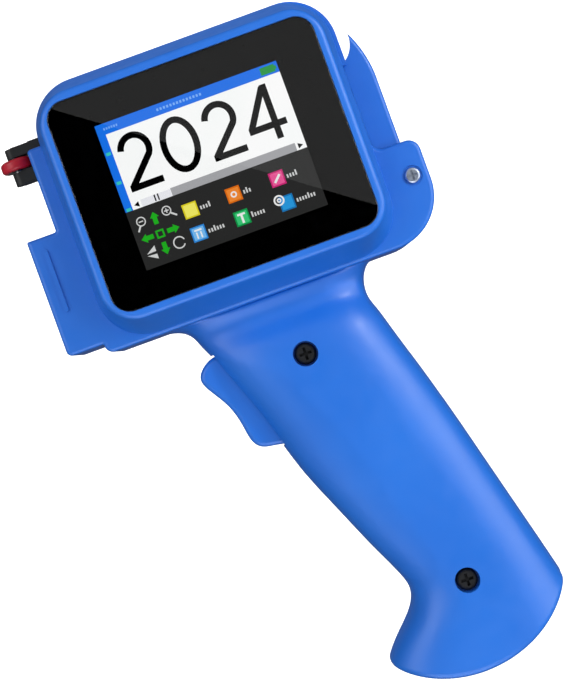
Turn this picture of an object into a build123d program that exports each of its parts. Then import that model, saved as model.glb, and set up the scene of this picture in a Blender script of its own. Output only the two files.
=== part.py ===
from build123d import *
import os
from math import copysign, cos, radians, sin

# Handheld date code inkjet printer, in millimetres.
# X runs from the print face to the rear, Y from the screen to the far side, Z up.
# The origin is the middle of the hand grip, halfway between its two screws.
# The two halves of the casing part on the plane Y = 0.

# Driving dimensions
WALL = 2.2                # casing wall
FIT = 0.3                 # gap round a part that doesn't run on another
RUN = 0.05                # radial gap of a running fit

HALF = 19.0               # half the thickness of the print head's casing
PRINT_FACE = -92.4        # X of the face that slides along the printed box
NOSE_LOW, NOSE_HIGH = 74.7, 117.8
HEAD_FRONT, HEAD_REAR = -81.3, 33.8
HEAD_LOW, HEAD_HIGH = 71.0, 148.3

EAR_REAR, EAR_HIGH, EAR_ROUND = 49.7, 106.0, 19.5
HINGE_X, HINGE_Z = 43.7, 93.5

SCREEN_X, SCREEN_Z = -21.1, 119.6          # middle of the screen box
SCREEN_W, SCREEN_H, SCREEN_ROUND = 109.8, 94.4, 17.0
RIM_W, RIM_H, RIM_ROUND = 103.3, 82.2, 12.0
RIM_Y = -35.0
GLASS_W, GLASS_H, GLASS_ROUND, GLASS_THICK = 97.4, 76.7, 6.8, 1.6
LCD_X, LCD_Z, LCD_W, LCD_H = -21.7, 119.35, 66.4, 52.7

BUTT_X, BUTT_Z, BUTT_R = 8.0, -32.8, 47.1   # arc of the grip's lower end
GRIP_SCREWS = ((-13.2, 47.3), (13.2, -47.3))
GRIP_LEAN = 19.0                            # degrees that the grip leans from upright

# Hand grip at each height: Z, front X, rear X, half thickness
GRIP = (
    (75.0, -62.0, 23.0, 15.5),
    (70.5, -56.5, 20.0, 15.0),
    (66.5, -49.6, 16.6, 14.0),
    (62.0, -47.6, 15.4, 14.2),
    (58.0, -45.7, 15.6, 16.2),
    (54.0, -44.2, 16.9, 17.8),
    (46.0, -41.2, 19.3, 18.8),
    (32.0, -36.0, 23.5, 19.0),
    (20.0, -32.4, 27.0, 18.8),
    (8.0, -28.7, 30.3, 18.4),
    (-10.0, -21.3, 34.9, 18.0),
    (-28.0, -13.5, 39.5, 18.0),
    (-39.0, -8.4, 42.3, 18.3),
    (-46.5, -6.6, 44.2, 18.8),
    (-53.0, -9.2, 45.8, 19.2),
    (-60.0, -15.8, 47.5, 19.5),
    (-68.0, -22.6, 49.5, 19.7),
    (-78.0, -29.0, 52.0, 19.8),
    (-88.0, -33.0, 54.5, 19.8),
)
GRIP_SQUARENESS = 2.8     # 2 would be an ellipse

TRIGGER_PIN_X, TRIGGER_PIN_Z, TRIGGER_PIN_R = -37.5, 52.6, 1.5
TRIGGER_HALF = 7.0
TRIGGER_PIN_HALF = 11.2    # half the length of its pin
TRIGGER_SLOT_LOW, TRIGGER_SLOT_HIGH = 18.4, 58.0

CARTRIDGE_FRONT, CARTRIDGE_REAR = -75.0, -9.7
CARTRIDGE_LOW, CARTRIDGE_HIGH, CARTRIDGE_HALF = 75.8, 143.6, 13.25
SNOUT_FRONT, SNOUT_LOW, SNOUT_HIGH, SNOUT_HALF = -91.8, 79.7, 112.7, 12.0
STALL_HALF = 16.5

WHEEL_X, WHEEL_R, WHEEL_LOW, WHEEL_HIGH = -88.2, 5.9, 145.0, 149.2
AXLE_R = 1.5
DOOR_HALF = 16.3
DOOR_SHOULDER = 139.4      # the door's height, but for its finger horn

CELL_R, CELL_LONG = 9.2, 65.0
CELLS_X, CELLS_Z = 6.0, -7.4


def slab(face, y_low, y_high):
    """A flat outline in X and Z, made solid from y_low to y_high."""
    return extrude(Plane.XZ.offset(-y_high) * face, amount=y_high - y_low)


def block(x_low, x_high, y_low, y_high, z_low, z_high):
    size = (x_high - x_low, y_high - y_low, z_high - z_low)
    middle = ((x_low + x_high) / 2, (y_low + y_high) / 2, (z_low + z_high) / 2)
    return Pos(*middle) * Box(*size)


def rod_y(x, z, radius, y_low, y_high):
    """A round bar along Y."""
    return slab(Pos(x, z) * Circle(radius), y_low, y_high)


def rod_z(x, y, radius, z_low, z_high):
    """A round bar along Z."""
    return Pos(x, y, (z_low + z_high) / 2) * Cylinder(radius, z_high - z_low)


def rounded(x, z, width, height, radius):
    return Pos(x, z) * RectangleRounded(width, height, radius)


def outline(points, radii):
    """A closed outline in X and Z, each corner with its own radius."""
    return make_face(FilletPolyline(*points, radius=radii, close=True))


def pan_screw(x, z, y_seat, outward, head_r, shank_r, length, head_high=1.7):
    """A cross-recess pan-head screw along Y; outward is -1 or 1, the way its head faces."""
    y_top = y_seat + outward * head_high
    head = rod_y(x, z, head_r, min(y_seat, y_top), max(y_seat, y_top))
    top = head.faces().sort_by(Axis.Y)[0 if outward < 0 else -1]
    head = fillet(top.edges(), head_high * 0.55)
    y_end = y_seat - outward * length
    shank = rod_y(x, z, shank_r, min(y_seat, y_end), max(y_seat, y_end))
    recess_end = y_top - outward * head_high * 0.6
    recess_low, recess_high = min(y_top, recess_end), max(y_top, recess_end)
    arm, wide = head_r * 0.58, head_r * 0.13
    cross = block(x - arm, x + arm, recess_low, recess_high, z - wide, z + wide)
    cross += block(x - wide, x + wide, recess_low, recess_high, z - arm, z + arm)
    return head + shank - cross


def save(node, shape):
    export_step(shape, f"parts/{node}.step")


# ---------------------------------------------------------------- casing

def grip_section(z, front, rear, half, inset):
    """One level outline of the hand grip, a squarish ellipse."""
    middle = (front + rear) / 2
    long_half = (rear - front) / 2 - inset
    power = 2 / GRIP_SQUARENESS
    points = []
    for step in range(16):
        c = cos(radians(22.5 * step))
        s = sin(radians(22.5 * step))
        x = middle + long_half * copysign(abs(c) ** power, c)
        y = (half - inset) * copysign(abs(s) ** power, s)
        points.append((x, y))
    return Plane.XY.offset(z) * make_face(Spline(*points, periodic=True))


def grip(inset, top):
    """The hand grip's solid, inset by a wall, up to the height top."""
    rows = [row for row in GRIP if row[0] <= top]
    body = loft([grip_section(*row, inset) for row in rows])
    butt = Pos(BUTT_X, BUTT_Z) * Circle(BUTT_R - inset)
    above = Pos(0, 100 + BUTT_Z) * Rectangle(300, 200)
    return body & slab(butt + above, -40, 40)


def head_outline():
    corners = (
        ((PRINT_FACE, NOSE_HIGH), 0.6),
        ((HEAD_FRONT, NOSE_HIGH), 0.8),
        ((HEAD_FRONT, HEAD_HIGH), 1.2),
        ((HEAD_REAR, HEAD_HIGH), 1.5),
        ((HEAD_REAR, EAR_HIGH), 3.6),
        ((EAR_REAR, EAR_HIGH), 4.4),
        ((EAR_REAR, HEAD_LOW), EAR_ROUND),
        ((HEAD_FRONT + 2.3, HEAD_LOW), 3.0),
        ((HEAD_FRONT + 2.3, NOSE_LOW), 0.5),
        ((PRINT_FACE, NOSE_LOW), 2.0),
    )
    return outline([corner[0] for corner in corners], [corner[1] for corner in corners])


def head_outer():
    body = slab(head_outline(), -HALF, HALF)
    sides = body.faces().sort_by(Axis.Y)
    return fillet(sides[0].edges() + sides[-1].edges(), 1.5)


def head_hollow():
    """The room for the cartridge, open at the rear from the floor to the top."""
    inner = HALF - WALL
    room = block(HEAD_FRONT + WALL, HEAD_REAR - 2.0, -inner, inner, HEAD_LOW + WALL, HEAD_HIGH - WALL)
    nose = block(PRINT_FACE + 2.0, HEAD_FRONT + WALL, -inner, inner, NOSE_LOW + WALL, NOSE_HIGH - WALL)
    window = block(PRINT_FACE - 1, PRINT_FACE + 2, -SNOUT_HALF - 0.7, SNOUT_HALF + 0.7,
                   SNOUT_LOW - 0.7, SNOUT_HIGH + 0.7)
    door_way = block(HEAD_REAR - 2.5, EAR_REAR + 1, -inner, inner, HEAD_LOW + WALL, HEAD_HIGH - WALL)
    under_ears = block(HEAD_REAR + 1.2, EAR_REAR + 1, -inner, inner, HEAD_LOW - 1, HEAD_LOW + WALL + 1)
    return room + nose + window + door_way + under_ears


def encoder_notch():
    """The notch in the head's front and top edge that the wheel bracket sits in."""
    return block(HEAD_FRONT - 1, HEAD_FRONT + 4.5, -5.2, 5.2, 139.4, HEAD_HIGH + 1)


def wire_way():
    """The hole in the head's floor for the wires from the grip."""
    return rod_z(-8, 0, 5.0, 60, HEAD_LOW + WALL + 1)


def trigger_slot():
    slot = Pos(-45, (TRIGGER_SLOT_LOW + TRIGGER_SLOT_HIGH) / 2)
    slot *= RectangleRounded(44, TRIGGER_SLOT_HIGH - TRIGGER_SLOT_LOW, 1.5)
    return slab(slot, -TRIGGER_HALF - 0.4, TRIGGER_HALF + 0.4)


def casing():
    """Both halves as one hollow body, before they are parted."""
    grip_shape = grip(0, 75.0)
    butt_rim = grip_shape.edges().filter_by(lambda e: e.center().Z < -60 and e.length > 60)
    grip_shape = fillet(butt_rim, 2.2)
    body = head_outer() + grip_shape
    body -= head_hollow()
    body -= grip(WALL, 66.5)
    body -= encoder_notch() + wire_way() + trigger_slot()
    return body


def half_of(body, side):
    """The half of a body on one side of the parting plane; side is -1 or 1."""
    y_low, y_high = (-60, 0) if side < 0 else (0, 60)
    return body & block(-150, 150, y_low, y_high, -150, 250)


def boss(x, z, radius, side, limit):
    """A screw pillar from the wall to the parting plane, trimmed by the grip's outside."""
    y_low, y_high = (-HALF, 0) if side < 0 else (0, HALF)
    return rod_y(x, z, radius, y_low, y_high) & limit


def trigger_pin_seat(side, limit):
    y_low, y_high = sorted((side * HALF, side * (TRIGGER_HALF + 1.2)))
    return rod_y(TRIGGER_PIN_X, TRIGGER_PIN_Z, 3.6, y_low, y_high) & limit


def screen_plate():
    """The plate behind the screen box; its flange shows at the rear, above the door."""
    flange = 1.5
    face = rounded(SCREEN_X + flange / 2, SCREEN_Z, SCREEN_W + flange, SCREEN_H, SCREEN_ROUND)
    plate = slab(face, -HALF, -HALF + WALL)
    return plate - block(HEAD_REAR, HEAD_REAR + 5, -HALF - 1, 0, HEAD_LOW, DOOR_SHOULDER - 1.2)


def left_shell(body):
    """The half on the screen's side, with the plate that carries the screen box."""
    limit = grip(0.4, 75.0)
    shell = half_of(body, -1)
    shell += screen_plate()
    for x, z in GRIP_SCREWS:
        shell += boss(x, z, 5.6, -1, limit)
        shell -= rod_y(x, z, 4.5, -HALF - 2, -14.8)
        shell -= rod_y(x, z, 2.2, -HALF, 1)
    shell += trigger_pin_seat(-1, limit)
    shell -= rod_y(TRIGGER_PIN_X, TRIGGER_PIN_Z, TRIGGER_PIN_R, -TRIGGER_PIN_HALF - 0.2, 0)
    shell -= ribbon_slot() + port_holes()
    for x, z in corners_of_screen():
        shell -= rod_y(x, z, 1.7, -HALF - 1, -HALF + WALL + 1)
    for x, z in stall_screw_places():
        shell -= rod_y(x, z, 1.4, -HALF - 1, -HALF + WALL + 1)
    shell -= hinge_hole(-1)
    shell += nose_rib(-1)
    return shell


def right_shell(body):
    """The plain half on the far side."""
    limit = grip(0.4, 75.0)
    shell = half_of(body, 1)
    for x, z in GRIP_SCREWS:
        shell += boss(x, z, 5.2, 1, limit)
        shell -= rod_y(x, z, 3.0, -1, 11.0)
    shell += trigger_pin_seat(1, limit)
    shell -= rod_y(TRIGGER_PIN_X, TRIGGER_PIN_Z, TRIGGER_PIN_R, 0, TRIGGER_PIN_HALF + 0.2)
    for x, z in stall_screw_places():
        shell -= rod_y(x, z, 1.4, HALF - WALL - 1, HALF + 1)
    for row in range(6):
        slot = Pos(-40 + 7.5 * row, 131) * RectangleRounded(2.4, 16, 1.19)
        shell -= slab(slot, HALF - WALL - 1, HALF + 1)
    shell -= hinge_hole(1)
    shell += nose_rib(1)
    return shell


def nose_rib(side):
    """The finger rib on the side of the nose."""
    y_low, y_high = (-HALF - 0.8, -HALF + 0.5) if side < 0 else (HALF - 0.5, HALF + 0.8)
    return slab(rounded(-87.1, 101.5, 1.7, 23.0, 0.8), y_low, y_high)


def hinge_hole(side):
    """The dish and hole for a hinge screw in an ear."""
    y_low, y_high = (-HALF - 1, -HALF + WALL + 1) if side < 0 else (HALF - WALL - 1, HALF + 1)
    dish_low, dish_high = (-HALF - 1, -HALF + 0.5) if side < 0 else (HALF - 0.5, HALF + 1)
    hole = rod_y(HINGE_X, HINGE_Z, 1.7, y_low, y_high)
    return hole + rod_y(HINGE_X, HINGE_Z, 3.6, dish_low, dish_high)


def ribbon_slot():
    """Where the contact board's ribbon passes through to the screen box."""
    return slab(rounded(-70, 128, 3.0, 18.0, 1.4), -HALF - 1, -HALF + WALL + 1)


# ---------------------------------------------------------------- screen box

def corners_of_screen():
    """The four screws of the screen box."""
    return [(SCREEN_X + i * 46.5, SCREEN_Z + k * 38.5) for i in (-1, 1) for k in (-1, 1)]


def rim_stack(width, height, radius, y):
    return Plane.XZ.offset(-y) * rounded(SCREEN_X, SCREEN_Z, width, height, radius)


def screen_bezel():
    body = loft([rim_stack(SCREEN_W, SCREEN_H, SCREEN_ROUND, -HALF),
                 rim_stack(RIM_W, RIM_H, RIM_ROUND, RIM_Y)])
    rim = body.faces().sort_by(Axis.Y)[0]
    body = fillet(rim.edges(), 2.0)
    ledge = RIM_Y + 3.5
    body -= loft([rim_stack(SCREEN_W - 5.0, SCREEN_H - 5.0, SCREEN_ROUND - 2.5, -HALF),
                  rim_stack(GLASS_W - 0.6, GLASS_H - 2.0, RIM_ROUND - 4.0, ledge)])
    inside = slab(rounded(SCREEN_X, SCREEN_Z, RIM_W, RIM_H, RIM_ROUND), -34, -HALF)
    for x, z in corners_of_screen():
        body += rod_y(x, z, 3.2, ledge - 0.5, -HALF) & inside
        body -= rod_y(x, z, 1.2, -29.0, -HALF + 1)
    glass_seat = rounded(SCREEN_X, SCREEN_Z, GLASS_W, GLASS_H, GLASS_ROUND)
    body -= slab(glass_seat, RIM_Y - 1, RIM_Y + 0.1 + GLASS_THICK)
    body -= slab(rounded(LCD_X, LCD_Z, LCD_W + 3, LCD_H + 3, 1.0), RIM_Y, ledge + 1)
    return body


def touch_glass():
    plate = rounded(SCREEN_X, SCREEN_Z, GLASS_W - FIT, GLASS_H - FIT, GLASS_ROUND - FIT / 2)
    return slab(plate, RIM_Y + 0.1, RIM_Y + 0.1 + GLASS_THICK)


def display_panel():
    """The lit glass of the display, in the window behind the touch glass."""
    panel = Pos(LCD_X, LCD_Z) * Rectangle(LCD_W + 2, LCD_H + 2)
    return slab(panel, RIM_Y + 1.9, RIM_Y + 3.5)


def display_backlight():
    """The display's metal tray and backlight."""
    tray = slab(rounded(LCD_X, LCD_Z - 1.5, 74, 60, 1.0), RIM_Y + 3.6, RIM_Y + 7.0)
    tray -= block(LCD_X - 30, LCD_X + 30, RIM_Y + 6.6, RIM_Y + 8, LCD_Z - 24, LCD_Z + 20)
    return tray


BOARD_Y = -25.0
BOARD_THICK = 1.6


def board_holes():
    return [(SCREEN_X + i * 38, SCREEN_Z - 3 + k * 27) for i in (-1, 1) for k in (-1, 1)]


def main_board():
    board = slab(rounded(SCREEN_X, SCREEN_Z - 3, 84, 62, 2.0), BOARD_Y, BOARD_Y + BOARD_THICK)
    for x, z in board_holes():
        board -= rod_y(x, z, 1.35, BOARD_Y - 1, BOARD_Y + 3)
    return board


def board_parts():
    """The chips and sockets soldered to the main board, on its side towards the head."""
    y = BOARD_Y + BOARD_THICK
    places = ((-30, 118, 14, 14, 1.4), (-8, 124, 10, 12, 1.2), (-8, 106, 8, 6, 1.5),
              (-50, 132, 12, 4.5, 3.0), (-52, 104, 5, 14, 3.2), (12, 112, 6, 6, 2.2))
    parts = [slab(Pos(x, z) * Rectangle(wide, high), y, y + tall) for x, z, wide, high, tall in places]
    return Compound(children=parts)


def buzzer():
    y = BOARD_Y + BOARD_THICK
    body = rod_y(8, 98, 4.5, y, y + 3.6)
    return body - rod_y(8, 98, 0.9, y + 2.4, y + 4)


def board_posts():
    """The threaded posts between the casing and the main board."""
    posts = []
    for x, z in board_holes():
        post = rod_y(x, z, 2.5, BOARD_Y + BOARD_THICK, -HALF)
        posts.append(post - rod_y(x, z, 1.05, BOARD_Y, -HALF - 0.6))
    return Compound(children=posts)


def board_screws():
    screws = [pan_screw(x, z, BOARD_Y, -1, 2.1, 1.0, 4.6, 1.2) for x, z in board_holes()]
    return Compound(children=screws)


def bezel_screws():
    """Driven from inside the head, and from behind above it, into the screen box."""
    screws = [pan_screw(x, z, -HALF + WALL, 1, 2.5, 1.15, 10.0, 1.4) for x, z in corners_of_screen()]
    return Compound(children=screws)


# ---------------------------------------------------------------- ports and button
# They face rearwards, through the plate behind the screen, in the strip above the head.

STRIP_Z, BUTTON_Z = 153.6, 156.8
BACK = -HALF + WALL
PORT_END = -28.2
USB_X, JACK_X, BUTTON_X, LIGHT_X = -14.0, 8.0, -48.0, -36.0


def port_holes():
    holes = slab(rounded(USB_X, STRIP_Z, 15.0, 7.6, 0.8), -HALF - 1, BACK + 1)
    holes += rod_y(JACK_X, STRIP_Z, 4.3, -HALF - 1, BACK + 1)
    holes += rod_y(BUTTON_X, BUTTON_Z, 5.2, -HALF - 1, BACK + 1)
    holes += rod_y(LIGHT_X, BUTTON_Z, 1.6, -HALF - 1, BACK + 1)
    return holes


def usb_port():
    shell = slab(rounded(USB_X, STRIP_Z, 14.4, 7.0, 0.6), PORT_END, BACK + 0.2)
    shell -= slab(rounded(USB_X, STRIP_Z, 13.4, 6.0, 0.4), PORT_END + 0.6, BACK + 1)
    return shell


def usb_tongue():
    return block(USB_X - 5.6, USB_X + 5.6, PORT_END + 0.6, BACK - 1.2, STRIP_Z - 0.2, STRIP_Z + 1.7)


def dc_jack():
    body = slab(rounded(JACK_X, STRIP_Z, 9.4, 8.8, 1.0), PORT_END, -HALF - 0.1)
    body += rod_y(JACK_X, STRIP_Z, 4.0, -HALF - 1, BACK + 0.3)
    return body - rod_y(JACK_X, STRIP_Z, 2.8, PORT_END + 0.8, BACK + 1)


def dc_jack_pin():
    pin = rod_y(JACK_X, STRIP_Z, 1.05, PORT_END + 0.8, BACK - 0.8)
    tip = pin.faces().sort_by(Axis.Y)[-1]
    return fillet(tip.edges(), 0.5)


def power_button():
    cap = rod_y(BUTTON_X, BUTTON_Z, 4.1, -21.4, BACK + 1.3)
    top = cap.faces().sort_by(Axis.Y)[-1]
    cap = fillet(top.edges(), 0.7)
    return cap + rod_y(BUTTON_X, BUTTON_Z, 5.0, -22.2, -20.4)


def button_ring():
    """The guide pressed into the casing that the power button slides in."""
    ring = rod_y(BUTTON_X, BUTTON_Z, 5.2, -HALF, BACK) + rod_y(BUTTON_X, BUTTON_Z, 6.4, BACK, BACK + 0.8)
    return ring - rod_y(BUTTON_X, BUTTON_Z, 4.1 + RUN, -HALF - 1, BACK + 2)


def button_switch():
    """The switch that the power button presses, on its small board."""
    board = block(BUTTON_X - 8, BUTTON_X + 8, -26.8, -25.6, BUTTON_Z - 6, BUTTON_Z + 2)
    body = block(BUTTON_X - 3, BUTTON_X + 3, -25.6, -23.4, BUTTON_Z - 4, BUTTON_Z + 2)
    return board + body + rod_y(BUTTON_X, BUTTON_Z - 1, 1.7, -23.5, -22.9)


def status_light():
    lens = rod_y(LIGHT_X, BUTTON_Z, 1.6, -22.0, BACK + 0.4)
    top = lens.faces().sort_by(Axis.Y)[-1]
    return fillet(top.edges(), 0.6) + rod_y(LIGHT_X, BUTTON_Z, 2.4, -22.0, -20.4)


# ---------------------------------------------------------------- cartridge and its stall

def stall_screw_places():
    return [(-62.0, 84.0), (-62.0, 136.0), (12.0, 84.0), (12.0, 136.0)]


def cartridge_stall():
    """The black channel that the cartridge slides in, closed at its front but for the snout."""
    inner = CARTRIDGE_HALF + 0.35
    low, high = HEAD_LOW + WALL, CARTRIDGE_HIGH + 0.6
    body = block(HEAD_FRONT + WALL, 26, -STALL_HALF, STALL_HALF, low, high)
    body -= block(CARTRIDGE_FRONT - 2.0, 27, -inner, inner, CARTRIDGE_LOW - 0.3, high + 1)
    body -= block(HEAD_FRONT, -74, -SNOUT_HALF - 0.6, SNOUT_HALF + 0.6, SNOUT_LOW - 0.6, SNOUT_HIGH + 0.6)
    for side in (-1, 1):
        body -= slab(rounded(-18, 112, 44, 30, 6), side * 15 - 3, side * 15 + 3)
        for x, z in stall_screw_places():
            body -= rod_y(x, z, 0.95, min(side * 14, side * 17), max(side * 14, side * 17))
    for x, z in corners_of_screen():
        body -= rod_y(x, z, 3.4, -STALL_HALF - 1, -STALL_HALF + 1.6)
    body -= encoder_notch()
    body -= rod_z(-8, 0, 5.0, low - 1, low + 4)
    return body


def stall_screws():
    screws = []
    for side in (-1, 1):
        for x, z in stall_screw_places():
            screws.append(pan_screw(x, z, side * HALF, side, 2.2, 0.9, 4.8, 1.3))
    return Compound(children=screws)


def contact_board():
    x = CARTRIDGE_FRONT - 2.0
    return block(x, x + 1.0, -11, 11, 115.5, 139.0)


def contact_pins():
    """The sprung pins that touch the cartridge's pads."""
    pins = []
    for row in range(4):
        for column in range(6):
            y, z = -8.0 + 3.2 * column, 119.0 + 5.4 * row
            pin = Pos(CARTRIDGE_FRONT - 0.65, y, z) * Rot(0, 90, 0) * Cylinder(0.45, 0.7)
            pins.append(pin)
    return Compound(children=pins)


def cartridge_body():
    body = block(CARTRIDGE_FRONT, CARTRIDGE_REAR - 2.6, -CARTRIDGE_HALF, CARTRIDGE_HALF,
                 CARTRIDGE_LOW, CARTRIDGE_HIGH)
    body = fillet(body.edges().filter_by(Axis.X), 2.0)
    snout = block(SNOUT_FRONT, CARTRIDGE_FRONT, -SNOUT_HALF, SNOUT_HALF, SNOUT_LOW, SNOUT_HIGH)
    snout = fillet(snout.edges().filter_by(Axis.X), 1.2)
    return body + snout


def cartridge_lid():
    """The welded rear lid, with a ridge to pull it by."""
    x = CARTRIDGE_REAR - 2.6
    lid = block(x, x + 1.6, -CARTRIDGE_HALF, CARTRIDGE_HALF, CARTRIDGE_LOW, CARTRIDGE_HIGH)
    lid = fillet(lid.edges().filter_by(Axis.X), 2.0)
    return lid + block(x + 1.6, CARTRIDGE_REAR, -9, 9, 118, 121)


def nozzle_plate():
    """The gold plate with its two rows of nozzles."""
    plate = block(SNOUT_FRONT - 0.25, SNOUT_FRONT, -4.0, 4.0, SNOUT_LOW + 3, SNOUT_HIGH - 3)
    for side in (-1, 1):
        y = side * 1.6
        plate -= block(SNOUT_FRONT - 0.3, SNOUT_FRONT - 0.12, y - 0.25, y + 0.25, SNOUT_LOW + 9, SNOUT_HIGH - 9)
    return plate


def cartridge_contacts():
    x = CARTRIDGE_FRONT
    return block(x - 0.25, x, -9.5, 9.5, 116.5, 138.0)


# ---------------------------------------------------------------- rear door

def door_outline(inset):
    """The door's side view: straight rear, round foot at the hinge and a curved finger horn."""
    rear = 44.0 - inset
    edge = Polyline((34.1, 139.2), (34.1, 97.0))
    foot = Polyline((34.1, 97.0), (39.5, 89.2), (rear, 88.8))
    back = Polyline((rear, 88.8), (rear, 132.0))
    brow = ThreePointArc((rear, 132.0), (42.5 - inset, 141.5), (39.6 - inset * 0.4, 149.0))
    hollow = ThreePointArc((39.6 - inset * 0.4, 149.0), (37.6, 142.2), (34.1, 139.2))
    return make_face(edge + foot + back + brow + hollow)


def cartridge_door():
    """A shallow cover; only its side plate next to the screen carries the finger horn."""
    body = slab(door_outline(0), -DOOR_HALF, DOOR_HALF)
    outside = body.edges().filter_by(lambda e: abs(e.center().X - 44.0) < 0.2 and abs(e.center().Y) > 16)
    body = fillet(outside, 1.4)
    body -= slab(door_outline(2.2), -DOOR_HALF + 2.0, DOOR_HALF - 2.0)
    body -= block(30, 41.0, -DOOR_HALF + 2.0, DOOR_HALF - 2.0, 80, 150)
    for height in (112.0, 126.0):
        body += block(39.3, 42.5, -DOOR_HALF + 1, DOOR_HALF - 1, height, height + 1.6)
    for side in (-1, 1):
        outer, inner = side * DOOR_HALF, side * (DOOR_HALF - 2.0)
        body += rod_y(HINGE_X, HINGE_Z, 4.8, min(outer, inner), max(outer, inner))
        cap_room = side * (DOOR_HALF - 3.4)
        body -= rod_y(HINGE_X, HINGE_Z, 4.0, min(cap_room, inner), max(cap_room, inner))
        body -= rod_y(HINGE_X, HINGE_Z, 2.6 + RUN, min(side * HALF, inner), max(side * HALF, inner))
    for groove in range(4):
        body -= rod_y(44.35, 123.0 + 2.6 * groove, 0.7, -9, 9)
    return body - block(30, 50, -DOOR_HALF + 2.2, DOOR_HALF + 1, DOOR_SHOULDER, 155)


def hinge_bushes():
    """Flanged bushes screwed to the inside of the ears; the door turns on them."""
    bushes = []
    for side in (-1, 1):
        wall = side * (HALF - WALL)
        inner = side * (DOOR_HALF - 3.0)
        bush = rod_y(HINGE_X, HINGE_Z, 2.6, min(wall, inner), max(wall, inner))
        cap_low, cap_high = sorted((inner, side * (DOOR_HALF - 2.3)))
        bush += rod_y(HINGE_X, HINGE_Z, 3.6, cap_low, cap_high)
        bushes.append(bush - rod_y(HINGE_X, HINGE_Z, 1.25, -HALF, HALF))
    return Compound(children=bushes)


def hinge_screws():
    seat = HALF - 0.5
    screws = [pan_screw(HINGE_X, HINGE_Z, side * seat, side, 2.8, 1.25, 5.0, 1.5) for side in (-1, 1)]
    return Compound(children=screws)


# ---------------------------------------------------------------- trigger

def trigger():
    """A lever hung from a pin at its top, with a hooked finger rest."""
    front = Spline((-43.6, 57.4), (-48.9, 55.4), (-51.8, 51.4), (-49.8, 45.8), (-45.6, 38.6),
                   (-43.2, 30.0), (-41.0, 22.4), (-37.6, 20.4))
    back = Polyline((-37.6, 20.4), (-29.6, 19.0), (-27.6, 21.4), (-34.0, 49.0), (-33.2, 52.6),
                    (-35.6, 57.0), (-43.6, 57.4))
    body = slab(make_face(front + back), -TRIGGER_HALF, TRIGGER_HALF)
    rims = [edge for edge in body.edges() if edge.length > 35]
    body = fillet(rims, 1.8)
    body -= block(-38.5, -26, -TRIGGER_HALF + 2, TRIGGER_HALF - 2, 34, 46)
    return body - rod_y(TRIGGER_PIN_X, TRIGGER_PIN_Z, TRIGGER_PIN_R + RUN, -20, 20)


def trigger_pin():
    return rod_y(TRIGGER_PIN_X, TRIGGER_PIN_Z, TRIGGER_PIN_R, -TRIGGER_PIN_HALF, TRIGGER_PIN_HALF)


SPRING_Z = 40.0


def trigger_spring():
    """The compression spring between the trigger's hollow back and its seat."""
    turns, radius, wire, long = 5.0, 3.2, 0.35, 13.6
    path = Helix(pitch=long / turns, height=long, radius=radius)
    ring = Plane(origin=path @ 0, z_dir=path % 0) * Circle(wire)
    coil = sweep(ring, path=path)
    return Pos(-38.1, 0, SPRING_Z) * Rot(0, 90, 0) * coil


def trigger_walls():
    """The grip's cross walls: one with a post for the trigger spring, one for the switch."""
    walls = block(-23.8, -22.0, -HALF, HALF, 34.6, 46.0) + block(-16.8, -15.0, -HALF, HALF, 23.4, 34.6)
    post = Pos(-25.0, 0, SPRING_Z) * Rot(0, 90, 0) * Cylinder(2.4, 2.6)
    return (walls & grip(0.4, 75.0)) + post


def trigger_switch():
    """The small snap switch behind the trigger's lower end, and its lever."""
    body = block(-23.2, -16.8, -3.0, 3.0, 23.6, 34.2)
    lever = block(-23.9, -23.5, -2.0, 2.0, 23.8, 34.0)
    button = block(-23.6, -23.1, -0.8, 0.8, 27.0, 29.0)
    return body + lever + button


# ---------------------------------------------------------------- battery, screws of the grip

def along_grip(x, z):
    """A place in the leaning frame of the grip: x across it, z along it, from the cells' middle."""
    return Pos(CELLS_X, 0, CELLS_Z) * Rot(0, -GRIP_LEAN, 0) * Pos(x, 0, z)


def battery_cells():
    cells = []
    for side in (-1, 1):
        cell = Cylinder(CELL_R, CELL_LONG)
        cell = fillet(cell.edges(), 0.8)
        cells.append(along_grip(side * (CELL_R + 0.3), 0) * cell)
    return Compound(children=cells)


def battery_holder():
    """The open tray that holds both cells against the far half of the casing."""
    wide, long = 4 * CELL_R + 0.8, CELL_LONG + 2.2
    back = Pos(0, CELL_R + 1.0, 0) * Box(wide, 1.4, long)
    body = back
    for end in (-1, 1):
        body += Pos(0, 1.7, end * (CELL_LONG / 2 + 1.6)) * Box(wide - 4, 17.2, 1.2)
    return along_grip(0, 0) * body


def battery_contacts():
    """Nickel strips at the cells' ends."""
    strips = []
    for end in (-1, 1):
        for side in (-1, 1):
            z = end * (CELL_LONG / 2 + 0.6)
            strips.append(along_grip(side * (CELL_R + 0.3), z) * Box(8, 7, 0.8))
    return Compound(children=strips)


def grip_screws():
    screws = [pan_screw(x, z, -14.8, -1, 3.9, 2.0, 22.0, 2.4) for x, z in GRIP_SCREWS]
    return Compound(children=screws)


def grip_inserts():
    """Brass threaded inserts in the far half's pillars."""
    inserts = []
    for x, z in GRIP_SCREWS:
        inserts.append(rod_y(x, z, 3.0, 1.0, 9.0) - rod_y(x, z, 2.0, 0, 10))
    return Compound(children=inserts)


# ---------------------------------------------------------------- encoder wheel

BRACKET_LOW, BRACKET_HIGH = 139.7, 153.5
LOWER_ARM_TOP, UPPER_ARM_LOW = 144.4, 149.8


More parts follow.
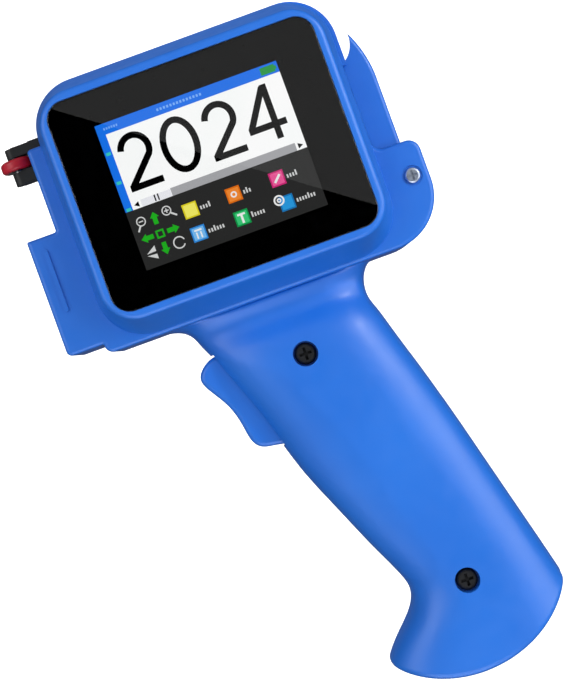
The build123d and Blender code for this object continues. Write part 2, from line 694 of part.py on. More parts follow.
def encoder_bracket():
    """The black fork for the measuring wheel, with a foot screwed to the head's top."""
    half = 5.0
    arm = Pos(WHEEL_X, 0) * Circle(2.6) + Pos(WHEEL_X + 3.6, 0) * Rectangle(7.2, 2 * half - 3)
    lower = extrude(Plane.XY.offset(BRACKET_LOW) * arm, LOWER_ARM_TOP - BRACKET_LOW)
    upper = extrude(Plane.XY.offset(UPPER_ARM_LOW) * arm, BRACKET_HIGH - UPPER_ARM_LOW)
    web = block(HEAD_FRONT - 0.2, HEAD_FRONT + 4.3, -half, half, BRACKET_LOW, BRACKET_HIGH)
    foot = block(HEAD_FRONT + 4.0, HEAD_FRONT + 15.5, -half, half, HEAD_HIGH, HEAD_HIGH + 2.4)
    body = lower + upper + web + foot
    body -= rod_z(WHEEL_X, 0, AXLE_R, BRACKET_LOW + 1.2, BRACKET_HIGH + 1)
    body -= rod_z(HEAD_FRONT + 10, 0, 1.3, HEAD_HIGH - 1, HEAD_HIGH + 5)
    return body - block(WHEEL_X + 2.2, WHEEL_X + 5.4, -1.6, 1.6, UPPER_ARM_LOW - 1, UPPER_ARM_LOW + 1.2)


def encoder_sensor():
    return block(WHEEL_X + 2.3, WHEEL_X + 5.3, -1.5, 1.5, UPPER_ARM_LOW + 0.1, UPPER_ARM_LOW + 1.2)


def encoder_axle():
    return rod_z(WHEEL_X, 0, AXLE_R, BRACKET_LOW + 1.2, BRACKET_HIGH)


def encoder_hub():
    hub = rod_z(WHEEL_X, 0, 4.2, WHEEL_LOW, WHEEL_HIGH - 1.0) + rod_z(WHEEL_X, 0, 2.3, WHEEL_LOW, WHEEL_HIGH)
    return hub - rod_z(WHEEL_X, 0, AXLE_R + RUN, WHEEL_LOW - 1, WHEEL_HIGH + 1)


def magnet_ring():
    """The magnetised ring that the sensor reads."""
    ring = rod_z(WHEEL_X, 0, 4.2, WHEEL_HIGH - 1.0, WHEEL_HIGH)
    return ring - rod_z(WHEEL_X, 0, 2.3, WHEEL_HIGH - 2, WHEEL_HIGH + 1)


def encoder_tyre():
    tyre = rod_z(WHEEL_X, 0, WHEEL_R, WHEEL_LOW, WHEEL_HIGH)
    tyre = fillet(tyre.edges(), 1.4)
    return tyre - rod_z(WHEEL_X, 0, 4.2, WHEEL_LOW - 1, WHEEL_HIGH + 1)


def encoder_screw():
    head = rod_z(HEAD_FRONT + 10, 0, 2.3, HEAD_HIGH + 2.4, HEAD_HIGH + 3.8)
    head = fillet(head.faces().sort_by(Axis.Z)[-1].edges(), 0.7)
    shank = rod_z(HEAD_FRONT + 10, 0, 1.1, HEAD_HIGH - 2.0, HEAD_HIGH + 2.4)
    slot = block(HEAD_FRONT + 8, HEAD_FRONT + 12, -0.3, 0.3, HEAD_HIGH + 3.0, HEAD_HIGH + 5)
    return head + shank - slot


def main():
    os.makedirs("parts", exist_ok=True)
    body = casing()
    screw_hole = rod_z(HEAD_FRONT + 10, 0, 1.1, HEAD_HIGH - 3.0, HEAD_HIGH + 1)
    body -= screw_hole
    body += trigger_walls()
    save("left_shell", left_shell(body))
    save("right_shell", right_shell(body))
    pieces = (screen_bezel, touch_glass, display_panel, display_backlight, main_board, board_parts,
              buzzer, board_posts, board_screws, bezel_screws, usb_port, usb_tongue, dc_jack,
              dc_jack_pin, power_button, button_ring, button_switch, status_light,
              cartridge_stall, stall_screws, contact_board, contact_pins, cartridge_body,
              cartridge_lid, nozzle_plate, cartridge_contacts, cartridge_door, hinge_bushes,
              hinge_screws, trigger, trigger_pin, trigger_spring, trigger_switch, battery_cells,
              battery_holder, battery_contacts, grip_screws, grip_inserts, encoder_bracket,
              encoder_sensor, encoder_axle, encoder_hub, magnet_ring, encoder_tyre, encoder_screw)
    for piece in pieces:
        save(piece.__name__, piece())


main()
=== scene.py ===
from math import cos, radians, sin

import bmesh
import bpy
from mathutils import Matrix, Vector


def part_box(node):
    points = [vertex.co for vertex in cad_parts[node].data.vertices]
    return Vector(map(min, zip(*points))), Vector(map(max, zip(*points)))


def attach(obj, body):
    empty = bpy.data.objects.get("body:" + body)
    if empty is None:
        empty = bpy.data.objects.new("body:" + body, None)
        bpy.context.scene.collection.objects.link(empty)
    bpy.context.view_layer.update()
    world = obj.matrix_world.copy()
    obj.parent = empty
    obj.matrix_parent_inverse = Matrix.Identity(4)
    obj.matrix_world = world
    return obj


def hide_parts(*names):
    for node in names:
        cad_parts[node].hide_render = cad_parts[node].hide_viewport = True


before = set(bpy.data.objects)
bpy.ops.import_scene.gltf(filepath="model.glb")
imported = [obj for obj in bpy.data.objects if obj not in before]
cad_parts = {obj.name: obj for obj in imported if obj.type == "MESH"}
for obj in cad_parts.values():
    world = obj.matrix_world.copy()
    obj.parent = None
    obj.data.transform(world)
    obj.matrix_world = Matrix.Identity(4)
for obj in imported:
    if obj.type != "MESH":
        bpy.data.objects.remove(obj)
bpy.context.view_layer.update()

MM = 0.001
scene = bpy.context.scene

# ---- Studio camera
# A long lens level with the middle of the printer, which leans twenty degrees in the view.
# Colours leave the camera as they are given, with no film curve over the blue plastic.
LEAN = radians(20)
DISTANCE, VIEW_HEIGHT = 0.620, 0.24727
aim = Vector((-0.01854, 0, 0.05439))
eye = aim - Vector((0, DISTANCE, 0))
camera_data = bpy.data.cameras.new("studio_camera")
camera = bpy.data.objects.new("studio_camera", camera_data)
scene.collection.objects.link(camera)
scene.camera = camera
camera_data.sensor_width = 36
camera_data.lens = 36 * DISTANCE / VIEW_HEIGHT
right = Vector((cos(LEAN), 0, -sin(LEAN)))
up = Vector((sin(LEAN), 0, cos(LEAN)))
turn = Matrix((right, up, Vector((0, -1, 0)))).transposed().to_4x4()
camera.matrix_world = Matrix.Translation(eye) @ turn
scene.view_settings.view_transform = "Standard"


# ---- Floor and backdrop
# One sheet of pale matt paper, flat below the printer and swept up behind it in a wide curve.
# It glows a little, as if lit from behind, but throws no light on the printer.
def linear(code):
    """An sRGB hex colour as the linear values that a shader takes."""
    levels = [int(code[i:i + 2], 16) / 255 for i in (1, 3, 5)]
    return [c / 12.92 if c < 0.04045 else ((c + 0.055) / 1.055) ** 2.4 for c in levels] + [1.0]


def add(tree, kind, inputs, **settings):
    """Add a node with its settings; an input is a value, or an output to link from."""
    made = tree.nodes.new("ShaderNode" + kind)
    for name, value in settings.items():
        setattr(made, name, value)
    wire(tree, made, inputs)
    return made


def wire(tree, made, inputs):
    for socket, value in inputs.items():
        if isinstance(value, bpy.types.NodeSocket):
            tree.links.new(value, made.inputs[socket])
        else:
            made.inputs[socket].default_value = value


def start_material(name):
    """A material with its tree, its shader and the Object coordinates that patterns use."""
    material = bpy.data.materials.new(name)
    material.use_nodes = True
    tree = material.node_tree
    place = add(tree, "TexCoord", {}).outputs["Object"]
    return material, tree, tree.nodes["Principled BSDF"], place


def patchy(tree, place, lump, low, high):
    """A number that drifts between two values, in lumps this many metres across."""
    lumps = add(tree, "TexNoise", {"Vector": place, "Scale": 1 / lump, "Detail": 3.0}).outputs["Fac"]
    drift = add(tree, "MapRange", {"Value": lumps, "From Min": 0.3, "From Max": 0.7,
                                   "To Min": low, "To Max": high})
    return drift.outputs["Result"]


def mottled(tree, place, lump, dark, pale):
    """A colour that drifts between two hex colours, in lumps this many metres across."""
    mixed = add(tree, "Mix", {"Factor": patchy(tree, place, lump, 0, 1),
                              "A": linear(dark), "B": linear(pale)}, data_type="RGBA")
    return mixed.outputs["Result"]


def grained(tree, place, grain, strength, depth, detail=3.0):
    """A surface direction roughened by grain of this size and depth in metres."""
    grains = add(tree, "TexNoise", {"Vector": place, "Scale": 1 / grain, "Detail": detail})
    bump = add(tree, "Bump", {"Height": grains.outputs["Fac"], "Strength": strength, "Distance": depth})
    return bump.outputs["Normal"]


def paper():
    material, tree, shader, place = start_material("matt_backdrop_paper")
    shade = mottled(tree, place, 0.4, "#f4f4f3", "#fbfbfa")
    wire(tree, shader, {"Base Color": shade, "Roughness": 0.9, "Specular IOR Level": 0.1,
                        "Emission Color": shade, "Emission Strength": 0.7})
    return material


def new_object(name, bm, material, corner=35):
    """A finished mesh in the scene, smooth but for edges sharper than the corner's degrees."""
    mesh = bpy.data.meshes.new(name)
    bm.to_mesh(mesh)
    bm.free()
    mesh.shade_smooth()
    mesh.set_sharp_from_angle(angle=radians(corner))
    mesh.materials.append(material)
    made = bpy.data.objects.new(name, mesh)
    scene.collection.objects.link(made)
    return made


FLOOR, WALL_AT = -0.30, 1.6
bm = bmesh.new()
bmesh.ops.create_grid(bm, x_segments=1, y_segments=1, size=4.0,
                      matrix=Matrix.Translation((0, WALL_AT - 4.0, FLOOR)))
far_edge = [edge for edge in bm.edges if all(v.co.y > WALL_AT - 0.01 for v in edge.verts)]
risen = bmesh.ops.extrude_edge_only(bm, edges=far_edge)["geom"]
bmesh.ops.translate(bm, verts=[v for v in risen if isinstance(v, bmesh.types.BMVert)], vec=(0, 0, 4))
bmesh.ops.bevel(bm, geom=far_edge, offset=0.8, segments=20, affect="EDGES", profile=0.5, material=-1)
backdrop = new_object("backdrop", bm, paper())
backdrop.visible_glossy = False
backdrop.visible_diffuse = False


# ---- Studio light
# Soft boxes to the right, left, below and behind, and a small lamp for sparkle. Pale walls
# in front give the rest; behind the printer the room is dim, so that its edges stay blue.
def soft_box(name, offset, size, power, glossy=True):
    data = bpy.data.lights.new(name, "AREA")
    data.energy = power
    data.size = size
    light = bpy.data.objects.new(name, data)
    light.visible_glossy = glossy
    light.location = aim + right * offset[0] + up * offset[1] - Vector((0, offset[2], 0))
    light.rotation_euler = (aim - light.location).to_track_quat("-Z", "Y").to_euler()
    scene.collection.objects.link(light)


soft_box("key_box", (1.00, 0.30, 0.75), 1.20, 11.0)
soft_box("fill_box", (-0.9, 0.1, 0.9), 1.0, 6.0)
soft_box("floor_box", (0.10, -0.95, 0.55), 1.0, 7.5)
soft_box("back_box", (-0.25, 1.00, -1.0), 1.0, 9.0, glossy=False)
soft_box("sparkle_lamp", (0.55, 0.60, 0.60), 0.08, 2.4)
world = bpy.data.worlds.new("pale_walls")
scene.world = world
world.use_nodes = True
facing = add(world.node_tree, "TexCoord", {}).outputs["Generated"]
behind = add(world.node_tree, "SeparateXYZ", {"Vector": facing}).outputs["Y"]
glow = add(world.node_tree, "MapRange", {"Value": behind, "From Min": -0.3, "From Max": 0.3,
                                         "To Min": 0.55, "To Max": 0.12}).outputs["Result"]
wire(world.node_tree, world.node_tree.nodes["Background"],
     {"Color": linear("#fdfdff"), "Strength": glow})


# ---- Cards behind the camera
# A black cloth that keeps the cover glass dark, and in front of it a grey card whose slanted
# edge shows in the glass as a paler corner. Only shiny faces and the glass see them.
def card(name, corners, depth, level):
    material, tree, shader, place = start_material(name + "_cloth")
    weave = mottled(tree, place, 50 * MM, "#b6b6b6", "#bababa")
    wire(tree, shader, {"Base Color": linear("#000000"), "Specular IOR Level": 0.0,
                        "Emission Color": weave, "Emission Strength": level})
    bm = bmesh.new()
    bm.faces.new([bm.verts.new((x, depth, z)) for x, z in corners])
    made = new_object(name, bm, material)
    for ray in ("camera", "diffuse", "volume_scatter", "shadow"):
        setattr(made, "visible_" + ray, False)


card("black_cloth", ((-0.55, -0.25), (0.50, -0.25), (0.50, 0.65), (-0.55, 0.65)), -0.95, 0.0)
card("grey_card", ((-0.25, 0.39), (0.21, 0.05), (0.45, 0.05), (0.45, 0.60), (-0.25, 0.60)), -0.90, 0.6)


# ---- Casing halves, screen box, rear door and trigger
# Injection moulded ABS, dyed right through. A polished mould, lightly spark-textured, gives a
# satin skin with slight flow shading. Along the parting plane, where the halves meet, a darker
# blue hairline is painted shade standing in for the shadow in the joint.
def blue_abs(name, painted_seam_shade=False):
    material, tree, shader, place = start_material(name)
    tone = mottled(tree, place, 35 * MM, "#1065ca", "#176bd0")
    # Painted shade: a darker blue hairline within 0.11 mm of the parting plane, for the shadow in the
    # joint between the halves.
    if painted_seam_shade:
        across = add(tree, "SeparateXYZ", {"Vector": place}).outputs["Y"]
        off = add(tree, "Math", {0: across}, operation="ABSOLUTE").outputs[0]
        line = add(tree, "Math", {0: off, 1: 0.11 * MM}, operation="LESS_THAN").outputs[0]
        tone = add(tree, "Mix", {"Factor": line, "A": tone, "B": linear("#123a86")},
                   data_type="RGBA").outputs["Result"]
    skin = grained(tree, place, 0.45 * MM, 0.12, 0.075 * MM, detail=2.0)
    wire(tree, shader, {"Base Color": tone, "Normal": skin, "IOR": 1.53,
                        "Roughness": patchy(tree, place, 6 * MM, 0.34, 0.42)})
    return material


def finish(material, *nodes):
    """Give the material to CAD nodes."""
    for name in nodes:
        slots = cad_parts[name].data.materials
        slots.clear()
        slots.append(material)


# The casing halves carry the painted shade of their joint.
finish(blue_abs("blue_abs_casing", painted_seam_shade=True), "left_shell", "right_shell")
finish(blue_abs("blue_abs"), "screen_bezel", "cartridge_door", "trigger")


# ---- Black mouldings
# Black and grey plastics from coarser spark-eroded moulds: the stall, the wheel's fork and the
# battery tray, the cartridge, the bushes, the chips' epoxy and the button, duller or glossier.
def black_moulding(name, dark, pale, roughness, grain):
    material, tree, shader, place = start_material(name)
    wire(tree, shader, {"Base Color": mottled(tree, place, 8 * MM, dark, pale), "IOR": 1.52,
                        "Normal": grained(tree, place, grain * MM, 0.25, 0.06 * MM),
                        "Roughness": patchy(tree, place, 2 * MM, roughness - 0.05, roughness + 0.05)})
    return material


finish(black_moulding("spark_textured_black_abs", "#04090a", "#0a1011", 0.55, 0.6),
       "cartridge_stall", "encoder_bracket", "battery_holder", "dc_jack", "usb_tongue")
finish(black_moulding("glass_filled_cartridge", "#17181a", "#1e1f22", 0.42, 0.8),
       "cartridge_body", "cartridge_lid")
finish(black_moulding("dyed_acetal", "#101114", "#16171a", 0.3, 1.2), "hinge_bushes", "encoder_hub")
finish(black_moulding("matt_epoxy_chips", "#111113", "#1c1c1f", 0.62, 0.4),
       "board_parts", "buzzer", "encoder_sensor", "trigger_switch")
finish(black_moulding("satin_grey_button", "#2c2e33", "#35373c", 0.36, 0.5),
       "power_button", "button_ring")


# ---- Screws, pins, springs and sheet metal
# Zinc plating is bluish and soft, ground steel is smooth, tinned sheet is milky and black oxide
# is nearly matt. Each has a fine grain, and handling leaves faint patches on it.
def metal(name, dark, pale, roughness, grain, metallic=1.0):
    material, tree, shader, place = start_material(name)
    wire(tree, shader, {"Base Color": mottled(tree, place, 1.5 * MM, dark, pale), "Metallic": metallic,
                        "Roughness": patchy(tree, place, grain * MM, roughness - 0.06, roughness + 0.08),
                        "Normal": grained(tree, place, grain * MM, 0.15, 0.02 * MM, detail=6.0)})
    return material


finish(metal("bright_zinc_plate", "#a8b4c8", "#c8d2e2", 0.38, 0.15),
       "board_screws", "bezel_screws", "stall_screws", "hinge_screws", "encoder_screw")
finish(metal("black_oxide_steel", "#06080c", "#0c0f15", 0.55, 0.2, metallic=0.3), "grip_screws")
finish(metal("ground_steel", "#b9bcc2", "#d4d6da", 0.2, 0.08),
       "trigger_pin", "encoder_axle", "trigger_spring")
finish(metal("tinned_sheet", "#a9abad", "#c3c5c6", 0.34, 0.3),
       "display_backlight", "usb_port", "battery_contacts")
finish(metal("turned_brass", "#a98442", "#c7a25c", 0.28, 0.1),
       "board_posts", "grip_inserts", "dc_jack_pin")
finish(metal("gold_flash", "#c79a3e", "#e0b659", 0.22, 0.12),
       "contact_pins", "nozzle_plate", "cartridge_contacts")
finish(metal("bonded_ferrite", "#26272a", "#34363a", 0.6, 0.3, metallic=0.4), "magnet_ring")


# ---- Circuit boards
# Glass-epoxy board under green solder mask, with copper tracks that show as paler lines at
# right angles, about a millimetre apart.
def solder_mask():
    material, tree, shader, place = start_material("green_solder_mask")
    tracks = add(tree, "TexVoronoi", {"Vector": place, "Scale": 1 / (3.2 * MM), "Randomness": 0.8},
                 distance="MANHATTAN").outputs["Distance"]
    wave = add(tree, "Math", {0: tracks, 1: 6.0}, operation="MULTIPLY").outputs[0]
    lines = add(tree, "Math", {0: wave, 1: 0.9}, operation="PINGPONG").outputs[0]
    copper = add(tree, "MapRange", {"Value": lines, "From Min": 0.3, "From Max": 0.7}).outputs["Result"]
    tone = add(tree, "Mix", {"Factor": copper, "A": linear("#0d4a2a"), "B": linear("#1c6a3c")},
               data_type="RGBA").outputs["Result"]
    bump = add(tree, "Bump", {"Height": lines, "Strength": 0.2, "Distance": 0.04 * MM})
    wire(tree, shader, {"Base Color": tone, "Roughness": 0.3, "IOR": 1.5,
                        "Normal": bump.outputs["Normal"]})
    return material


finish(solder_mask(), "main_board", "contact_board", "button_switch")


# ---- Measuring wheel's tyre
# Ground silicone rubber, deep red and slightly glossy, with a fine grain that grips the goods.
# It is stretched over the hub.
def silicone_rubber():
    material, tree, shader, place = start_material("red_silicone_rubber")
    wire(tree, shader, {"Base Color": mottled(tree, place, 2.5 * MM, "#a00e24", "#b8142c"),
                        "Roughness": 0.34, "IOR": 1.43,
                        "Normal": grained(tree, place, 0.3 * MM, 0.3, 0.05 * MM)})
    return material


finish(silicone_rubber(), "encoder_tyre")


# ---- Battery sleeves and the status light
# The cells wear a shrunk blue PVC sleeve with faint wrinkles; the light pipe is frosted acrylic
# with a green lamp behind it.
def shrink_sleeve():
    material, tree, shader, place = start_material("shrunk_pvc_sleeve")
    wire(tree, shader, {"Base Color": mottled(tree, place, 1.8 * MM, "#1d5f93", "#2877b4"),
                        "Roughness": 0.25, "IOR": 1.53,
                        "Normal": grained(tree, place, 1.8 * MM, 0.2, 0.1 * MM, detail=2.0)})
    return material


def light_pipe():
    material, tree, shader, place = start_material("frosted_acrylic_light_pipe")
    core = mottled(tree, place, 1 * MM, "#7fe08a", "#a6f0ac")
    wire(tree, shader, {"Base Color": core, "Roughness": 0.35, "IOR": 1.49, "Emission Color": core,
                        "Emission Strength": 0.35})
    return material


finish(shrink_sleeve(), "battery_cells")
finish(light_pipe(), "status_light")


# ---- Cover glass
# A slab of clear float glass with ground, polished edges, glued into the screen box. It takes
# the place of the plain CAD plate, and leaves room at its back for the print.
GLASS_CORNER, GROUND_EDGE, INK_ROOM = 6.65 * MM, 0.3 * MM, 0.04 * MM


def ground_slab(low, high, edge):
    """A slab facing -Y with round corners and, if it has a ground edge, bevels round its front."""
    bm = bmesh.new()
    middle, size = (low + high) / 2, high - low
    bmesh.ops.create_cube(bm, size=1, matrix=Matrix.LocRotScale(middle, None, size))
    uprights = [e for e in bm.edges if abs(e.verts[0].co.y - e.verts[1].co.y) > size.y / 2]
    bmesh.ops.bevel(bm, geom=uprights, offset=GLASS_CORNER, segments=12, affect="EDGES", profile=0.5,
                    material=-1)
    front = [e for e in bm.edges if all(v.co.y < low.y + size.y * 0.01 for v in e.verts)]
    if edge:
        bmesh.ops.bevel(bm, geom=front, offset=edge, segments=3, affect="EDGES", profile=0.5,
                        material=-1)
    bmesh.ops.recalc_face_normals(bm, faces=bm.faces)
    return bm


def float_glass():
    material, tree, shader, place = start_material("polished_float_glass")
    tint = mottled(tree, place, 20 * MM, "#fafdfc", "#ffffff")
    wire(tree, shader, {"Base Color": tint, "Roughness": 0.0, "IOR": 1.5, "Transmission Weight": 1.0})
    return material


glass_low, glass_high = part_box("touch_glass")
slab = ground_slab(glass_low, glass_high - Vector((0, INK_ROOM, 0)), GROUND_EDGE)
cover_glass = new_object("cover_glass", slab, float_glass(), corner=8)
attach(cover_glass, "casing")
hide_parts("touch_glass")


# ---- Black print under the glass
# Matt black ink, screen printed on the back of the glass round the display's window, so that
# nothing of the inside shows beside the lit picture.
def printed_ink():
    material, tree, shader, place = start_material("black_screen_ink")
    tone = mottled(tree, place, 3 * MM, "#000000", "#020203")
    wire(tree, shader, {"Base Color": tone, "Roughness": 0.7, "Specular IOR Level": 0.0})
    return material


panel_low, panel_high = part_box("display_panel")
PANEL_MARGIN = 1.0 * MM
window_low = panel_low + Vector((PANEL_MARGIN, 0, PANEL_MARGIN))
window_high = panel_high - Vector((PANEL_MARGIN, 0, PANEL_MARGIN))
ink_low = Vector((glass_low.x, glass_high.y - 0.75 * INK_ROOM, glass_low.z))
ink_high = glass_high - Vector((0, 0.25 * INK_ROOM, 0))
bm = ground_slab(ink_low, ink_high, 0)
for at in (window_low, window_high):
    for side in ((1, 0, 0), (0, 0, 1)):
        bmesh.ops.bisect_plane(bm, geom=bm.verts[:] + bm.edges[:] + bm.faces[:], plane_co=at,
                               plane_no=side)
inside = []
for face in bm.faces:
    spot = face.calc_center_median()
    if window_low.x < spot.x < window_high.x and window_low.z < spot.z < window_high.z:
        inside.append(face)
bmesh.ops.delete(bm, geom=inside, context="FACES")
rims = [edge for edge in bm.edges if edge.is_boundary]
bmesh.ops.bridge_loops(bm, edges=rims)
bmesh.ops.recalc_face_normals(bm, faces=bm.faces)
glass_print = new_object("glass_print", bm, printed_ink())
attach(glass_print, "casing")


# ---- The lit picture
# A 3.5 inch colour display. Every figure of its picture is a thin sheet of one colour, laid in
# layers between the panel and the cover glass; u runs right and v down, in millimetres.
def lit_colour(name, code, strength=1.0):
    """A display colour: it shines by itself, with faint soft columns that its backlight leaves."""
    material, tree, shader, place = start_material(name)
    columns = add(tree, "TexWave", {"Vector": place, "Scale": 1 / (20 * 0.6 * MM)}, bands_direction="X")
    uneven = add(tree, "TexNoise", {"Vector": place, "Scale": 1 / (15 * MM), "Detail": 3.0})
    dim = add(tree, "Mix", {"Factor": columns.outputs["Fac"], "A": uneven.outputs["Fac"], "B": 0.5},
              data_type="FLOAT")
    shade = [level * 0.93 for level in linear(code)[:3]] + [1.0]
    glow = add(tree, "Mix", {"Factor": dim.outputs["Result"], "A": shade, "B": linear(code)},
               data_type="RGBA").outputs["Result"]
    wire(tree, shader, {"Base Color": linear("#010101"), "Roughness": 0.4, "Specular IOR Level": 0.0,
                        "Emission Color": glow, "Emission Strength": strength})
    return material


def bar(left, top, width, height):
    return [((left, top), (left + width, top), (left + width, top + height), (left, top + height))]


def stroke(start, end, width):
    """A straight line of some width."""
    start, end = Vector(start), Vector(end)
    side = (end - start).orthogonal().normalized() * width / 2
    return [(start + side, end + side, end - side, start - side)]


def ring(u, v, outer, inner, first=0, last=360):
    """A flat ring, or part of one, as a row of small quads."""
    figures, step = [], 15
    for degrees in range(first, last, step):
        a, b = radians(degrees), radians(degrees + step)
        figures.append([(u + r * cos(t), v + r * sin(t)) for r, t in
                        ((outer, a), (outer, b), (inner, b), (inner, a))])
    return figures


def arrow(u, v, along, across):
    """An arrow 4.4 mm long about its middle; along is the unit vector that it points in."""
    along, across, middle = Vector(along), Vector(across), Vector((u, v))
    corners = ((2.2, 0), (0.2, 1.6), (0.2, 0.8), (-2.2, 0.8), (-2.2, -0.8), (0.2, -0.8), (0.2, -1.6))
    return [[middle + along * a + across * b for a, b in corners]]


LAYER, SHEET = 0.03 * MM, 0.02 * MM


def picture(name, code, layer, figures, strength=1.0):
    """One colour of the picture: flat figures in millimetres, grown to the thickness of a sheet,
    turned upright and laid in their layer over the panel."""
    bm = bmesh.new()
    for corners in figures:
        bm.faces.new([bm.verts.new((u, -v, 0)) for u, v in corners])
    bmesh.ops.remove_doubles(bm, verts=bm.verts, dist=0.01)
    grown = bmesh.ops.extrude_face_region(bm, geom=bm.faces[:])["geom"]
    bmesh.ops.translate(bm, verts=[v for v in grown if isinstance(v, bmesh.types.BMVert)],
                        vec=(0, 0, SHEET / MM))
    corner = Vector((window_low.x, panel_low.y - SHEET - layer * LAYER, window_high.z))
    upright = Matrix.Translation(corner) @ Matrix.Rotation(radians(90), 4, "X") @ Matrix.Scale(MM, 4)
    bmesh.ops.transform(bm, matrix=upright, verts=bm.verts)
    bmesh.ops.recalc_face_normals(bm, faces=bm.faces)
    piece = new_object(name, bm, lit_colour(name + "_light", code, strength))
    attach(piece, "casing")


WIDE = (window_high.x - window_low.x) / MM
HIGH = (window_high.z - window_low.z) / MM
TITLE, COLUMN, PAGE_END = 3.95, 2.75, 31.6

picture("picture_panel", "#2b2b2b", 0, bar(0, PAGE_END, WIDE, HIGH - PAGE_END))
picture("picture_title", "#1a74ee", 0, [[(0, 0), (WIDE, 0), (WIDE, TITLE), (COLUMN, TITLE),
                                         (COLUMN, PAGE_END), (0, PAGE_END)]])
picture("picture_page", "#ffffff", 0, bar(COLUMN, TITLE, WIDE - COLUMN, PAGE_END - TITLE), 1.05)
ticks = [tick for v in (10.0, 20.6, 30.4) for tick in bar(0.5, v, 1.7, 1.1)]
picture("picture_ticks", "#38c8c0", 1, ticks)
picture("picture_battery", "#2a9a48", 1, bar(60.0, 0.7, 5.2, 2.6) + bar(65.2, 1.4, 0.6, 1.2))


# ---- Numerals of the date being printed
# Plain upright figures of the lit picture, about 20 mm high, drawn with one even stroke.
# Each is made of bands and bars that overlap where the stroke turns.
NUMERAL_TOP, STROKE = 6.0, 2.3


def arc(u, v, wide, high, first, last):
    """Points round an ellipse, every ten degrees, turning clockwise from the right."""
    turns = [radians(degrees) for degrees in range(first, last + 1, 10)]
    return [Vector((u + wide * cos(t), v + high * sin(t))) for t in turns]


def ribbon(points, closed=False):
    """A band of even width along a row of points."""
    edges = []
    for index, point in enumerate(points):
        before = points[index - 1] if closed or index else point
        after = points[(index + 1) % len(points)] if closed or index + 1 < len(points) else point
        side = (after - before).orthogonal().normalized() * STROKE / 2
        edges.append((point + side, point - side))
    pairs = zip(edges, edges[1:] + edges[:1] if closed else edges[1:])
    return [(a[0], b[0], b[1], a[1]) for a, b in pairs]


def two(left):
    bowl = arc(left + 6.2, NUMERAL_TOP + 6.2, 4.9, 5.2, 190, 390)
    foot = bar(left + 0.3, NUMERAL_TOP + 17.5, 12.0, STROKE)
    return ribbon(bowl + [Vector((left + 1.4, NUMERAL_TOP + 18.2))]) + foot


numerals = two(4.2) + ribbon(arc(25.7, NUMERAL_TOP + 9.8, 5.6, 8.8, 0, 350), closed=True) + two(34.9)
numerals += stroke((58.6, NUMERAL_TOP + 0.8), (50.4, NUMERAL_TOP + 13.9), STROKE)
numerals += bar(49.4, NUMERAL_TOP + 13.2, 13.6, STROKE) + bar(57.9, NUMERAL_TOP, STROKE, 19.6)
picture("picture_numerals", "#020202", 1, numerals)


# ---- Scroll bar, arrows and zoom marks
# The lit picture's controls: the bar that scrolls the message, four arrows that shift it round a
# square, two magnifiers, a turn mark and a mirror mark.
picture("picture_scroll_track", "#a9a9ad", 1, bar(17.2, 28.8, 45.6, 2.8))
picture("picture_scroll_marks", "#0a0a0a", 2,
        [((3.6, 30.2), (5.4, 29.2), (5.4, 31.2)), ((65.4, 30.2), (63.6, 29.2), (63.6, 31.2))]
        + bar(11.0, 29.0, 0.5, 2.3) + bar(12.2, 29.0, 0.5, 2.3))
picture("picture_scroll_thumb", "#f0f0f6", 1, bar(6.2, 29.0, 10.9, 2.5))
picture("picture_arrows", "#22b022", 1,
        arrow(8.75, 36.6, (0, -1), (1, 0)) + arrow(8.75, 47.6, (0, 1), (1, 0))
        + arrow(4.1, 42.3, (-1, 0), (0, 1)) + arrow(13.5, 42.3, (1, 0), (0, 1))
        + bar(7.3, 40.9, 2.9, 0.6) + bar(7.3, 43.2, 2.9, 0.6)
        + bar(7.3, 41.5, 0.6, 1.7) + bar(9.6, 41.5, 0.6, 1.7))
picture("picture_tools", "#d8d8d8", 1,
        ring(3.9, 36.2, 1.7, 1.3) + stroke((3.2, 37.6), (2.0, 39.4), 0.6) + bar(3.1, 36.0, 1.6, 0.4)
        + ring(13.4, 35.6, 1.7, 1.3) + stroke((14.6, 36.8), (16.4, 38.2), 0.6)
        + bar(12.6, 35.4, 1.6, 0.4) + bar(13.2, 34.8, 0.4, 1.6)
        + ring(13.9, 47.4, 2.2, 1.75, 30, 345)
        + [((2.0, 47.6), (5.4, 45.4), (5.4, 47.4)), ((2.0, 48.2), (5.4, 48.4), (5.4, 50.2))])


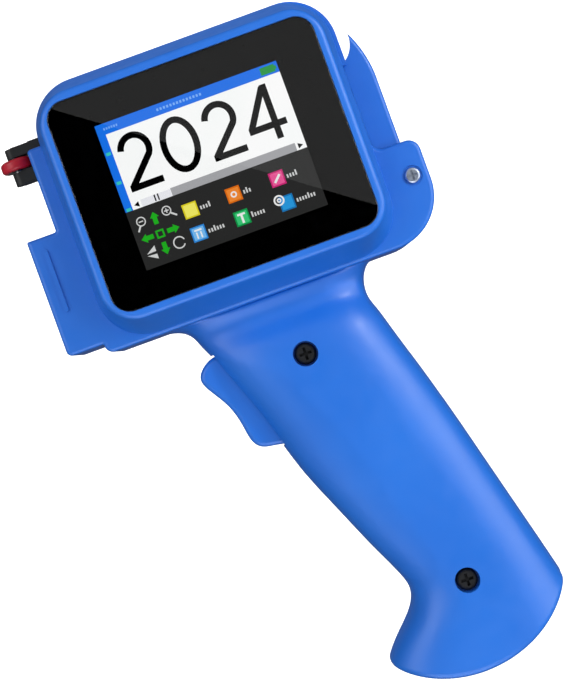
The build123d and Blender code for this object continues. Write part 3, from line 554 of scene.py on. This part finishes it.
# ---- Coloured keys
# Six keys in two rows. Each is a square with a paler face, most with a plain mark, and beside it
# a row of short strokes stands for its label, so that no word is drawn.
KEY = 5.2
KEYS = (("yellow", "#e0d020", "#f6ee66", 21.3, 38.3, 4),
        ("orange", "#e06c10", "#f48a34", 37.1, 38.3, 3),
        ("pink", "#d02a78", "#f05c9c", 53.0, 38.3, 4),
        ("sky", "#2c86d8", "#78bcf4", 21.3, 46.8, 6),
        ("green", "#109a4c", "#3cc878", 37.1, 46.8, 5),
        ("blue", "#1a76b8", "#2a9ae0", 53.4, 47.2, 7))
letters = []
for colour, edge, face, u, v, strokes in KEYS:
    picture(f"picture_key_{colour}", edge, 1, bar(u - KEY / 2, v - KEY / 2, KEY, KEY))
    raised = bar(u - KEY / 2 + 0.5, v - KEY / 2 + 0.5, KEY - 1, KEY - 1)
    picture(f"picture_key_{colour}_face", face, 2, raised)
    for count in range(strokes):
        tall = 1.9 if (2 * count + strokes) % 5 == 0 else 1.25
        letters += bar(u + 3.4 + 1.02 * count, v + 1.0 - tall, 0.56, tall)
marks = ring(37.1, 38.3, 1.1, 0.6)
marks += stroke((51.8, 39.5), (54.2, 37.1), 0.8)
marks += bar(20.0, 45.3, 2.6, 0.6) + bar(20.3, 46.3, 0.5, 2.2) + bar(21.8, 46.3, 0.5, 2.2)
marks += bar(35.7, 45.2, 2.8, 0.7) + bar(36.7, 45.9, 0.8, 2.8)
marks += ring(51.0, 45.6, 1.9, 1.3) + ring(51.0, 45.6, 0.8, 0.3)
picture("picture_key_marks", "#f2f2f2", 3, marks)
picture("picture_key_labels", "#d6d6d6", 1, letters)
header = [dash for count in range(14) for dash in bar(22.0 + 1.2 * count, 1.5, 0.7, 0.9)]
header += [dash for count in range(6) for dash in bar(2.6 + 0.9 * count, 1.6, 0.5, 0.8)]
picture("picture_title_strokes", "#7db4ff", 1, header)


# ---- Display glass behind the picture
# The panel's own dark glass, glued to its backlight and held by the screen box. It is seen
# only where the picture ends.
def panel_glass():
    material, tree, shader, place = start_material("dark_panel_glass")
    tone = mottled(tree, place, 5 * MM, "#08090b", "#0e1013")
    wire(tree, shader, {"Base Color": tone, "Roughness": 0.15, "IOR": 1.5})
    return material


finish(panel_glass(), "display_panel")
